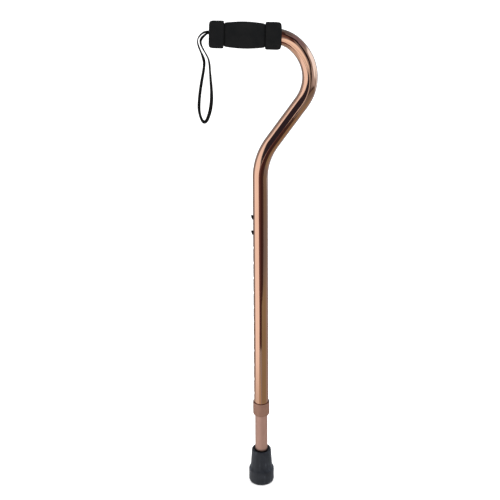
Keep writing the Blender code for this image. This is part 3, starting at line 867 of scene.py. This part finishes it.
def slide_bush():
    """The bush in the leg's top: a flange over a shank with three gripping ribs."""
    low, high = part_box("slide_bush")
    step = high.z - BUSH_FLANGE
    profile = [(BUSH_BORE, low.z, 0.3 * MM), (BUSH_SHANK, low.z, 0.6 * MM)]
    for rib in BUSH_RIBS:
        height = low.z + rib
        profile += [
            (BUSH_SHANK, height, 0.15 * MM), (BUSH_RIB, height + 0.5 * MM, 0.15 * MM),
            (BUSH_SHANK, height + 1.0 * MM, 0.15 * MM),
        ]
    profile += [
        (BUSH_SHANK, step, 0.1 * MM), (high.x, step, 0.3 * MM),
        (high.x, high.z, 0.7 * MM), (BUSH_BORE, high.z, 0.4 * MM),
    ]
    return turned("leg_bush", soften(profile, True), True)


def clamp_ring():
    """The split ring, its slit towards +X."""
    low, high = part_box("clamp_ring")
    slit = CLAMP_SLIT / high.x
    section = ring_section(CLAMP_BORE, low, high, 0.3 * MM, 0.9 * MM, 0.3 * MM)
    rings = []
    for i in range(CLAMP_STEPS + 1):
        angle = slit / 2.0 + (2.0 * math.pi - slit) * i / CLAMP_STEPS
        rings.append([
            Vector((r * math.cos(angle), r * math.sin(angle), z)) for r, z in section
        ])
    return ring_piece("split_ring", rings, False)


def button_spring():
    """The steel strip bent to a V, with rounded ends and edges."""
    low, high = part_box("button_spring")
    bend = low.z + SPRING_BEND_RADIUS + SPRING_THICKNESS / 2.0
    back_top = high.z - SPRING_STEP
    knee = bend + SPRING_KNEE
    route = [(-SPRING_SPREAD, high.z, 0.0), (-SPRING_SPREAD, knee, SPRING_KNEE_ROUND)]
    for i in range(SPRING_BEND_STEPS + 1):
        angle = math.pi + math.pi * i / SPRING_BEND_STEPS
        route.append((
            SPRING_BEND_RADIUS * math.cos(angle), bend + SPRING_BEND_RADIUS * math.sin(angle), 0.0
        ))
    route += [(SPRING_SPREAD, knee, SPRING_KNEE_ROUND), (SPRING_SPREAD, back_top, 0.0)]
    line = even_rows(soften(route), SPRING_ROW)
    section = rounded_box(SPRING_WIDTH, SPRING_THICKNESS, SPRING_ROUND)
    rings = []
    for i, (x, z) in enumerate(line):
        ahead = line[min(i + 1, len(line) - 1)] - line[max(i - 1, 0)]
        normal = Vector((ahead.y, 0.0, -ahead.x)).normalized()
        rows_left = min(i, len(line) - 1 - i)
        narrow = 1.0 - 0.5 * max(0.0, 1.0 - rows_left / SPRING_END_ROWS) ** 2
        rings.append([
            Vector((x, across * narrow, z)) + normal * thick for across, thick in section
        ])
    return ring_piece("snap_spring", rings, False)


def snap_button(name, height):
    """A steel button turned about an axis along -X: sloped head, shank and rivet."""
    front = SPRING_SPREAD + SPRING_THICKNESS / 2.0 + BUTTON_GAP
    back = SPRING_SPREAD - SPRING_THICKNESS / 2.0 - BUTTON_GAP
    rivet_end = back - BUTTON_RIVET_DEPTH
    crown = BUTTON_REACH + BUTTON_DOME
    profile = soften([
        (BUTTON_AXIS, rivet_end, 0.0),
        (BUTTON_RIVET, rivet_end, 0.5 * MM),
        (BUTTON_RIVET, back, 0.1 * MM),
        (BUTTON_SHANK, back, 0.1 * MM),
        (BUTTON_SHANK, front, 0.1 * MM),
        (BUTTON_RADIUS, front, 0.3 * MM),
        (BUTTON_RADIUS, BUTTON_REACH - 0.1 * MM, 0.9 * MM),
        (0.45 * BUTTON_RADIUS, crown, 0.6 * MM),
        (BUTTON_AXIS, crown, 0.0),
    ])
    rings = []
    for radius, along in profile:
        slope = BUTTON_SLOPE if along > BUTTON_REACH - BUTTON_HEAD else 0.0
        rings.append([(x, y, along + slope * x) for x, y in circle(radius, BUTTON_SIDES)])
    button = ring_piece(name, rings, False)
    place = Matrix.Translation((0.0, 0.0, height))
    button.matrix_world = place @ Matrix.Rotation(-math.pi / 2.0, 4, "Y")
    return button


# ---------------------------------------------------------------- material nodes

class Nodes:
    """A material's node tree with its shader, and short calls that add nodes to it. The
    shader's sockets are set by name, with _ for a space."""

    def __init__(self, name, colour, **sockets):
        self.material = bpy.data.materials.new(name)
        self.material.use_nodes = True
        self.tree = self.material.node_tree
        self.shader = self.tree.nodes["Principled BSDF"]
        self.material.diffuse_color = (*colour, 1.0)
        self.shader.inputs["Base Color"].default_value = (*colour, 1.0)
        for title, value in sockets.items():
            self.shader.inputs[title.replace("_", " ")].default_value = value

    def add(self, kind, **settings):
        node = self.tree.nodes.new(kind)
        for title, value in settings.items():
            setattr(node, title, value)
        return node

    def join(self, output, socket):
        self.tree.links.new(output, socket)

    def object_place(self, scale=(1.0, 1.0, 1.0)):
        """Object coordinates times a (x, y, z) scale."""
        return self.scaled(self.add("ShaderNodeTexCoord").outputs["Object"], scale)

    def attribute(self, name, scale=(1.0, 1.0, 1.0)):
        """A stored place times a (x, y, z) scale."""
        return self.scaled(self.add("ShaderNodeAttribute", attribute_name=name).outputs["Vector"],
                           scale)

    def scaled(self, vector, scale):
        mapping = self.add("ShaderNodeMapping")
        mapping.inputs["Scale"].default_value = scale
        self.join(vector, mapping.inputs["Vector"])
        return mapping.outputs["Vector"]

    def noise(self, vector, scale, detail=3.0, roughness=0.55):
        node = self.add("ShaderNodeTexNoise")
        node.inputs["Scale"].default_value = scale
        node.inputs["Detail"].default_value = detail
        node.inputs["Roughness"].default_value = roughness
        self.join(vector, node.inputs["Vector"])
        return node.outputs["Fac"]

    def cells(self, vector, scale):
        node = self.add("ShaderNodeTexVoronoi")
        node.inputs["Scale"].default_value = scale
        self.join(vector, node.inputs["Vector"])
        return node.outputs["Distance"]

    def waves(self, vector, scale, direction):
        node = self.add("ShaderNodeTexWave", wave_type="BANDS", bands_direction=direction)
        node.inputs["Scale"].default_value = scale
        self.join(vector, node.inputs["Vector"])
        return node.outputs["Fac"]

    def ramp(self, value, stops):
        """A colour ramp with (place, colour) stops."""
        node = self.add("ShaderNodeValToRGB")
        elements = node.color_ramp.elements
        while len(elements) < len(stops):
            elements.new(1.0)
        for element, (place, colour) in zip(elements, stops):
            element.position = place
            element.color = (*colour, 1.0)
        self.join(value, node.inputs["Fac"])
        return node.outputs["Color"]

    def span(self, value, low, high):
        """Maps 0..1 to low..high."""
        node = self.add("ShaderNodeMapRange")
        node.inputs["To Min"].default_value = low
        node.inputs["To Max"].default_value = high
        self.join(value, node.inputs["Value"])
        return node.outputs["Result"]

    def combine(self, operation, first, second):
        node = self.add("ShaderNodeMath", operation=operation)
        for value, socket in ((first, node.inputs[0]), (second, node.inputs[1])):
            if isinstance(value, float):
                socket.default_value = value
            else:
                self.join(value, socket)
        return node.outputs["Value"]

    def mix(self, amount, first, second):
        """Mixes two colours, each an output or a plain (red, green, blue)."""
        node = self.add("ShaderNodeMix", data_type="RGBA")
        factor, start, end = [node.inputs[i] for i in MIX_COLOUR_INPUTS]
        self.join(amount, factor)
        for value, socket in ((first, start), (second, end)):
            if isinstance(value, tuple):
                socket.default_value = (*value, 1.0)
            else:
                self.join(value, socket)
        return node.outputs[MIX_COLOUR_OUTPUT]

    def colour(self, output):
        self.join(output, self.shader.inputs["Base Color"])

    def roughness(self, output):
        self.join(output, self.shader.inputs["Roughness"])

    def bump(self, height, strength, distance, before=None):
        node = self.add("ShaderNodeBump")
        node.inputs["Strength"].default_value = strength
        node.inputs["Distance"].default_value = distance
        self.join(height, node.inputs["Height"])
        if before:
            self.join(before, node.inputs["Normal"])
        self.join(node.outputs["Normal"], self.shader.inputs["Normal"])
        return node.outputs["Normal"]


def bronze_anodised():
    """Polished bronze tube: drawn lines along it, faint smudges, wear at the holes' lips."""
    m = Nodes("polished_bronze", (0.79, 0.475, 0.34), Metallic=1.0, Roughness=0.09,
              Coat_Weight=0.5, Coat_Roughness=0.04)
    lines = m.noise(m.attribute("straight", (1.0, 1.0, 0.012)), 2600.0, 4.0, 0.6)
    cloud = m.noise(m.attribute("straight", (1.0, 1.0, 0.35)), 45.0, 3.0)
    tint = m.ramp(cloud, ((0.3, (0.78, 0.46, 0.325)), (0.7, (0.82, 0.49, 0.355))))
    fine = m.ramp(lines, ((0.35, (0.93, 0.93, 0.93)), (0.65, (1.0, 1.0, 1.0))))
    shade = m.add("ShaderNodeVectorMath", operation="MULTIPLY")
    m.join(tint, shade.inputs[0])
    m.join(fine, shade.inputs[1])
    worn = m.add("ShaderNodeAttribute", attribute_name="worn")
    m.colour(m.mix(worn.outputs["Fac"], shade.outputs["Vector"], (0.62, 0.55, 0.50)))
    smudge = m.span(m.noise(m.attribute("straight", (1.0, 1.0, 0.6)), 120.0, 5.0), 0.0, 0.05)
    drawn = m.span(lines, 0.03, 0.06)
    m.roughness(m.combine("ADD", smudge, drawn))
    m.bump(lines, 0.05, 0.02 * MM)
    return m.material


def dull_bronze(name, low, high, rough, shade_below=None):
    """Satin mauve bronze, brushed round and a little cloudy, with painted shade near black below a
    given height.
    """
    m = Nodes(name, high, Metallic=0.6, Roughness=rough)
    brushed = m.noise(m.object_place((0.05, 0.05, 1.0)), 5200.0, 3.0)
    cloud = m.noise(m.object_place((1.0, 1.0, 0.5)), 130.0, 4.0)
    tint = m.ramp(cloud, ((0.3, low), (0.7, high)))
    # Painted shade where the leg goes into the tip: near black below the given height, fading out
    # above it.
    if shade_below:
        height = m.add("ShaderNodeSeparateXYZ")
        m.join(m.object_place(), height.inputs["Vector"])
        unshaded = m.ramp(height.outputs["Z"], (
            (shade_below, (0.0, 0.0, 0.0)), (shade_below + SHADE_FADE, (1.0, 1.0, 1.0)),
        ))
        tint = m.mix(unshaded, (0.006, 0.005, 0.005), tint)
    m.colour(tint)
    m.roughness(m.combine(
        "ADD", m.span(brushed, rough - 0.06, rough + 0.02), m.span(cloud, -0.03, 0.05)
    ))
    m.bump(brushed, 0.10, 0.02 * MM)
    return m.material


def black_foam():
    """Closed-cell foam: fine pores, a soft uneven skin and a dry sheen."""
    m = Nodes("black_foam_skin", (0.006, 0.006, 0.007), Roughness=0.9, Specular_IOR_Level=0.10)
    pores = m.cells(m.object_place(), 1500.0)
    grain = m.noise(m.object_place(), 900.0, 6.0, 0.7)
    cloud = m.noise(m.object_place(), 60.0, 3.0)
    m.colour(m.ramp(cloud, ((0.3, (0.0050, 0.0056, 0.0062)), (0.7, (0.0080, 0.0080, 0.0082)))))
    m.roughness(m.span(grain, 0.80, 0.96))
    first = m.bump(pores, 0.35, 0.10 * MM)
    m.bump(grain, 0.5, 0.12 * MM, first)
    return m.material


def black_webbing():
    """Narrow woven tape: ribs across and along, with painted shade darkening it between the yarns.
    """
    m = Nodes("woven_tape", (0.012, 0.012, 0.012), Roughness=0.8, Specular_IOR_Level=0.15)
    woven = m.attribute("woven")
    weft = m.waves(woven, 210.0, "Z")
    warp = m.waves(woven, 260.0, "X")
    yarn = m.combine("MULTIPLY", weft, warp)
    fluff = m.noise(woven, 2400.0, 4.0, 0.7)
    height = m.combine("ADD", yarn, m.combine("MULTIPLY", fluff, 0.35))
    # The colour follows the weave's height: painted shade in the hollows between the yarns, with
    # the fluff's random tone.
    m.colour(m.ramp(height, ((0.1, (0.0015, 0.0015, 0.0015)), (0.9, (0.0080, 0.0080, 0.0085)))))
    m.roughness(m.span(fluff, 0.70, 0.92))
    m.bump(height, 0.8, 0.10 * MM)
    return m.material


def grey_rubber():
    """Moulded rubber: slate grey, with a pale bloom in upright streaks and a fine grain."""
    m = Nodes("slate_rubber", (0.030, 0.034, 0.040), Roughness=0.6, Specular_IOR_Level=0.35,
              Sheen_Weight=0.14, Sheen_Roughness=0.45, Sheen_Tint=(0.80, 0.86, 1.0, 1.0))
    streak = m.noise(m.object_place((1.0, 1.0, 0.10)), 260.0, 4.0, 0.6)
    patch = m.noise(m.object_place(), 90.0, 5.0, 0.6)
    bloom = m.combine("MULTIPLY", streak, patch)
    m.colour(m.ramp(bloom, (
        (0.15, (0.004, 0.006, 0.011)), (0.32, (0.012, 0.015, 0.022)), (0.50, (0.062, 0.070, 0.084)),
    )))
    grain = m.noise(m.object_place(), 1800.0, 4.0, 0.6)
    m.roughness(m.span(bloom, 0.48, 0.80))
    first = m.bump(grain, 0.25, 0.06 * MM)
    m.bump(streak, 0.15, 0.10 * MM, first)
    return m.material


def black_plastic():
    m = Nodes("moulded_black_plastic", (0.015, 0.015, 0.016), Roughness=0.45)
    grain = m.noise(m.object_place(), 2200.0, 3.0)
    cloud = m.noise(m.object_place(), 160.0, 3.0)
    m.colour(m.ramp(cloud, ((0.3, (0.012, 0.012, 0.013)), (0.7, (0.019, 0.019, 0.020)))))
    m.roughness(m.span(grain, 0.36, 0.55))
    m.bump(grain, 0.2, 0.05 * MM)
    return m.material


def white_nylon():
    m = Nodes("natural_nylon", (0.74, 0.73, 0.68), Roughness=0.4,
              Subsurface_Weight=0.15, Subsurface_Scale=1.5 * MM)
    cloud = m.noise(m.object_place(), 220.0, 4.0)
    m.colour(m.ramp(cloud, ((0.3, (0.70, 0.69, 0.63)), (0.7, (0.77, 0.76, 0.72)))))
    m.roughness(m.span(m.noise(m.object_place(), 1500.0), 0.32, 0.50))
    m.bump(cloud, 0.15, 0.08 * MM)
    return m.material


def steel(name, low, high, rough):
    """Steel with fine scratches, a little stained."""
    m = Nodes(name, high, Metallic=1.0, Roughness=rough)
    scratches = m.noise(m.object_place((1.0, 0.08, 1.0)), 3800.0, 4.0, 0.65)
    stain = m.noise(m.object_place(), 420.0, 4.0)
    m.colour(m.ramp(stain, ((0.32, low), (0.68, high))))
    m.roughness(m.combine(
        "ADD", m.span(scratches, rough - 0.08, rough + 0.06), m.span(stain, -0.03, 0.05)
    ))
    m.bump(scratches, 0.12, 0.02 * MM)
    return m.material


# ---------------------------------------------------------------- studio

def camera():
    data = bpy.data.cameras.new("camera")
    data.lens = LENS
    data.sensor_width = 36.0
    data.clip_end = CAMERA_CLIP
    piece = bpy.data.objects.new("camera", data)
    bpy.context.scene.collection.objects.link(piece)
    pitch = Matrix.Rotation(CAMERA_PITCH, 4, "X")
    roll = Matrix.Rotation(CAMERA_ROLL, 4, "Z")
    piece.matrix_world = Matrix.Translation(CAMERA_PLACE) @ pitch @ roll
    bpy.context.scene.camera = piece


def floor():
    """A plain pale floor."""
    m = Nodes("pale_floor", (0.92, 0.92, 0.92), Roughness=0.9,
              Emission_Color=(*PALE, 1.0), Emission_Strength=FLOOR_GLOW)
    cloud = m.noise(m.object_place(), 3.0, 3.0)
    m.colour(m.ramp(cloud, ((0.2, (0.915, 0.915, 0.92)), (0.8, (0.93, 0.93, 0.93)))))
    bm = bmesh.new()
    bm.faces.new([bm.verts.new((x, y, 0.0)) for x, y in circle(FLOOR_RADIUS, FLOOR_SIDES)])
    piece = finish_mesh("studio_floor", bm)
    piece.data.materials.append(m.material)
    piece.visible_glossy = False


def line_distance(place, line):
    """How far a 2-D place lies from a line of points."""
    nearest = math.inf
    for here, there in zip(line, line[1:]):
        along = there - here
        share = max(0.0, min(1.0, (place - here).dot(along) / along.length_squared))
        nearest = min(nearest, (place - here - along * share).length)
    return nearest


def tent_colour(place, cards):
    """The tent's colour at (distance round it, height)."""
    colour = Vector(TENT_BASE)
    for card, half, soft, line in cards:
        cover = (half + soft / 2.0 - line_distance(place, line)) / soft
        cover = max(0.0, min(1.0, cover))
        colour = colour.lerp(card, cover * cover * (3.0 - 2.0 * cover))
    return colour


def tent_light():
    m = Nodes("tent_light", (0.0, 0.0, 0.0))
    light = m.add("ShaderNodeEmission")
    m.join(m.add("ShaderNodeAttribute", attribute_name="light").outputs["Color"],
           light.inputs["Color"])
    m.join(light.outputs["Emission"], m.tree.nodes["Material Output"].inputs["Surface"])
    return m.material


def reflected_only(piece, colours):
    """Gives a studio piece its light by vertex, and hides it from all but reflections."""
    layer = piece.data.attributes.new("light", "FLOAT_COLOR", "POINT")
    layer.data.foreach_set("color", colours)
    piece.data.materials.append(tent_light())
    for rays in ("camera", "diffuse", "shadow", "transmission"):
        setattr(piece, "visible_" + rays, False)


def drum_point(radius, degrees, height):
    turn = math.radians(degrees)
    return radius * math.sin(turn), -radius * math.cos(turn), height


def tent():
    """A drum of bright and dark cards round the cane."""
    cards = [
        (Vector(colour), half, soft,
         [Vector((math.radians(turn) * TENT_RADIUS, height)) for turn, height in line])
        for colour, half, soft, line in TENT_CARDS
    ]
    bm = bmesh.new()
    rings, colours = [], []
    for row in range(TENT_ROWS[0], TENT_ROWS[1] + 1):
        height = row * TENT_ROW
        ring = []
        for degrees in range(-179, 181, TENT_TURN):
            ring.append(bm.verts.new(drum_point(TENT_RADIUS, degrees, height)))
            place = Vector((math.radians(degrees) * TENT_RADIUS, height))
            colours += [*tent_colour(place, cards), 1.0]
        rings.append(ring)
    for here, there in zip(rings, rings[1:]):
        bridge(bm, here, there)
    bm.faces.new(rings[0])
    reflected_only(finish_mesh("light_tent", bm), colours)


def stand():
    """The dark stand in front of the shaft."""
    bm = bmesh.new()
    rows, colours = [], []
    left, middle, right = [Vector(colour) for colour in STAND_COLOURS]
    for height, first, last in STAND_ROWS:
        row = []
        for column in range(STAND_COLUMNS + 1):
            share = column / STAND_COLUMNS
            degrees = first + (last - first) * share
            row.append(bm.verts.new(drum_point(STAND_RADIUS, degrees, height)))
            ends = (left, middle) if share < 0.5 else (middle, right)
            colours += [*ends[0].lerp(ends[1], 2.0 * share % 1.0), 1.0]
        rows.append(row)
    for low, high in zip(rows, rows[1:]):
        for column in range(STAND_COLUMNS):
            bm.faces.new((low[column], low[column + 1], high[column + 1], high[column]))
    reflected_only(finish_mesh("dark_stand", bm), colours)


def area_light(name, place, size, power):
    """A soft square lamp that reflections don't see."""
    data = bpy.data.lights.new(name, "AREA")
    data.energy = power
    data.size = size
    piece = bpy.data.objects.new(name, data)
    bpy.context.scene.collection.objects.link(piece)
    aim = (Vector(LIGHT_TARGET) - Vector(place)).to_track_quat("-Z", "Y")
    piece.matrix_world = Matrix.Translation(place) @ aim.to_matrix().to_4x4()
    piece.visible_glossy = False


def world():
    """An even pale surround, dimmer where only reflections look."""
    scene_world = bpy.data.worlds.new("studio")
    bpy.context.scene.world = scene_world
    scene_world.use_nodes = True
    tree = scene_world.node_tree
    pale = tree.nodes["Background"]
    pale.inputs["Color"].default_value = (*PALE, 1.0)
    pale.inputs["Strength"].default_value = 1.0
    dim = tree.nodes.new("ShaderNodeBackground")
    dim.inputs["Color"].default_value = (*DIM, 1.0)
    rays = tree.nodes.new("ShaderNodeLightPath")
    blend = tree.nodes.new("ShaderNodeMixShader")
    tree.links.new(rays.outputs["Is Glossy Ray"], blend.inputs["Fac"])
    tree.links.new(pale.outputs["Background"], blend.inputs[1])
    tree.links.new(dim.outputs["Background"], blend.inputs[2])
    tree.links.new(blend.outputs["Shader"], tree.nodes["World Output"].inputs["Surface"])


def studio():
    bpy.context.scene.view_settings.view_transform = "Standard"
    world()
    floor()
    tent()
    stand()
    for light in LIGHTS:
        area_light(*light)


# ---------------------------------------------------------------- the object

def put(piece, body, slot, material, *nodes):
    """Gives a piece its material and its body, and hides the CAD nodes that it stands for. The slot
    is not used.
    """
    piece.data.materials.clear()
    piece.data.materials.append(material)
    if body:
        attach(piece, body)
    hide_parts(*nodes)
    return piece


def strap():
    tape = put(wrist_strap(), "upper_handle", "black_webbing", black_webbing(), "wrist_strap")
    ferrule = put(strap_clasp(), "upper_handle", "zinc_steel",
                  steel("zinc", *ZINC, 0.32), "strap_clasp")
    mouth = in_handle(0.0) @ Vector((SLOT_PLACE, 0.0, 0.0))
    [tuple(point) for point in strap_line()]


def handle():
    put(upper_tube(), "upper_handle", "bronze_anodised", bronze_anodised(), "upper_tube")
    grip = put(foam_grip(), "upper_handle", "black_foam", black_foam(), "foam_grip")
    put(handle_plug(), "upper_handle", "black_plastic", black_plastic(), "handle_plug")


def leg():
    # The leg's material paints shade near black just above the rubber tip's top.
    put(lower_tube(), "lower_leg", "dull_bronze",
        dull_bronze("mauve_bronze_leg", (0.405, 0.24, 0.195), (0.45, 0.27, 0.22), 0.40,
                    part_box("rubber_tip")[1].z + SHADE_TOP),
        "lower_tube")
    put(rubber_tip(), "lower_leg", "grey_rubber", grey_rubber(), "rubber_tip")
    put(tip_washer(), "lower_leg", "zinc_steel",
        steel("zinc_washer", *ZINC, 0.35), "tip_washer")
    put(slide_bush(), "lower_leg", "white_nylon", white_nylon(), "slide_bush")
    put(clamp_ring(), "upper_handle", "white_nylon", white_nylon(), "clamp_ring")
    put(locking_collar(), "collar", "dull_bronze",
        dull_bronze("mauve_bronze_collar", (0.30, 0.165, 0.120), (0.345, 0.19, 0.14), 0.5),
        "locking_collar")


def snap_set():
    dark = steel("blackened_steel", (0.045, 0.045, 0.05), (0.12, 0.12, 0.13), 0.34)
    for name, node, height in zip(
        ("button_high", "button_low"), ("upper_button", "lower_button"),
        reversed(hole_heights()[-2:]),
    ):
        put(snap_button(name, height), "snap_buttons", "dark_steel", dark, node)
    spring = put(button_spring(), None, "spring_steel",
                 steel("spring", (0.34, 0.35, 0.37), (0.48, 0.49, 0.51), 0.28), "button_spring")
    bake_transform(spring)


camera()
strap()
handle()
leg()
snap_set()
studio()
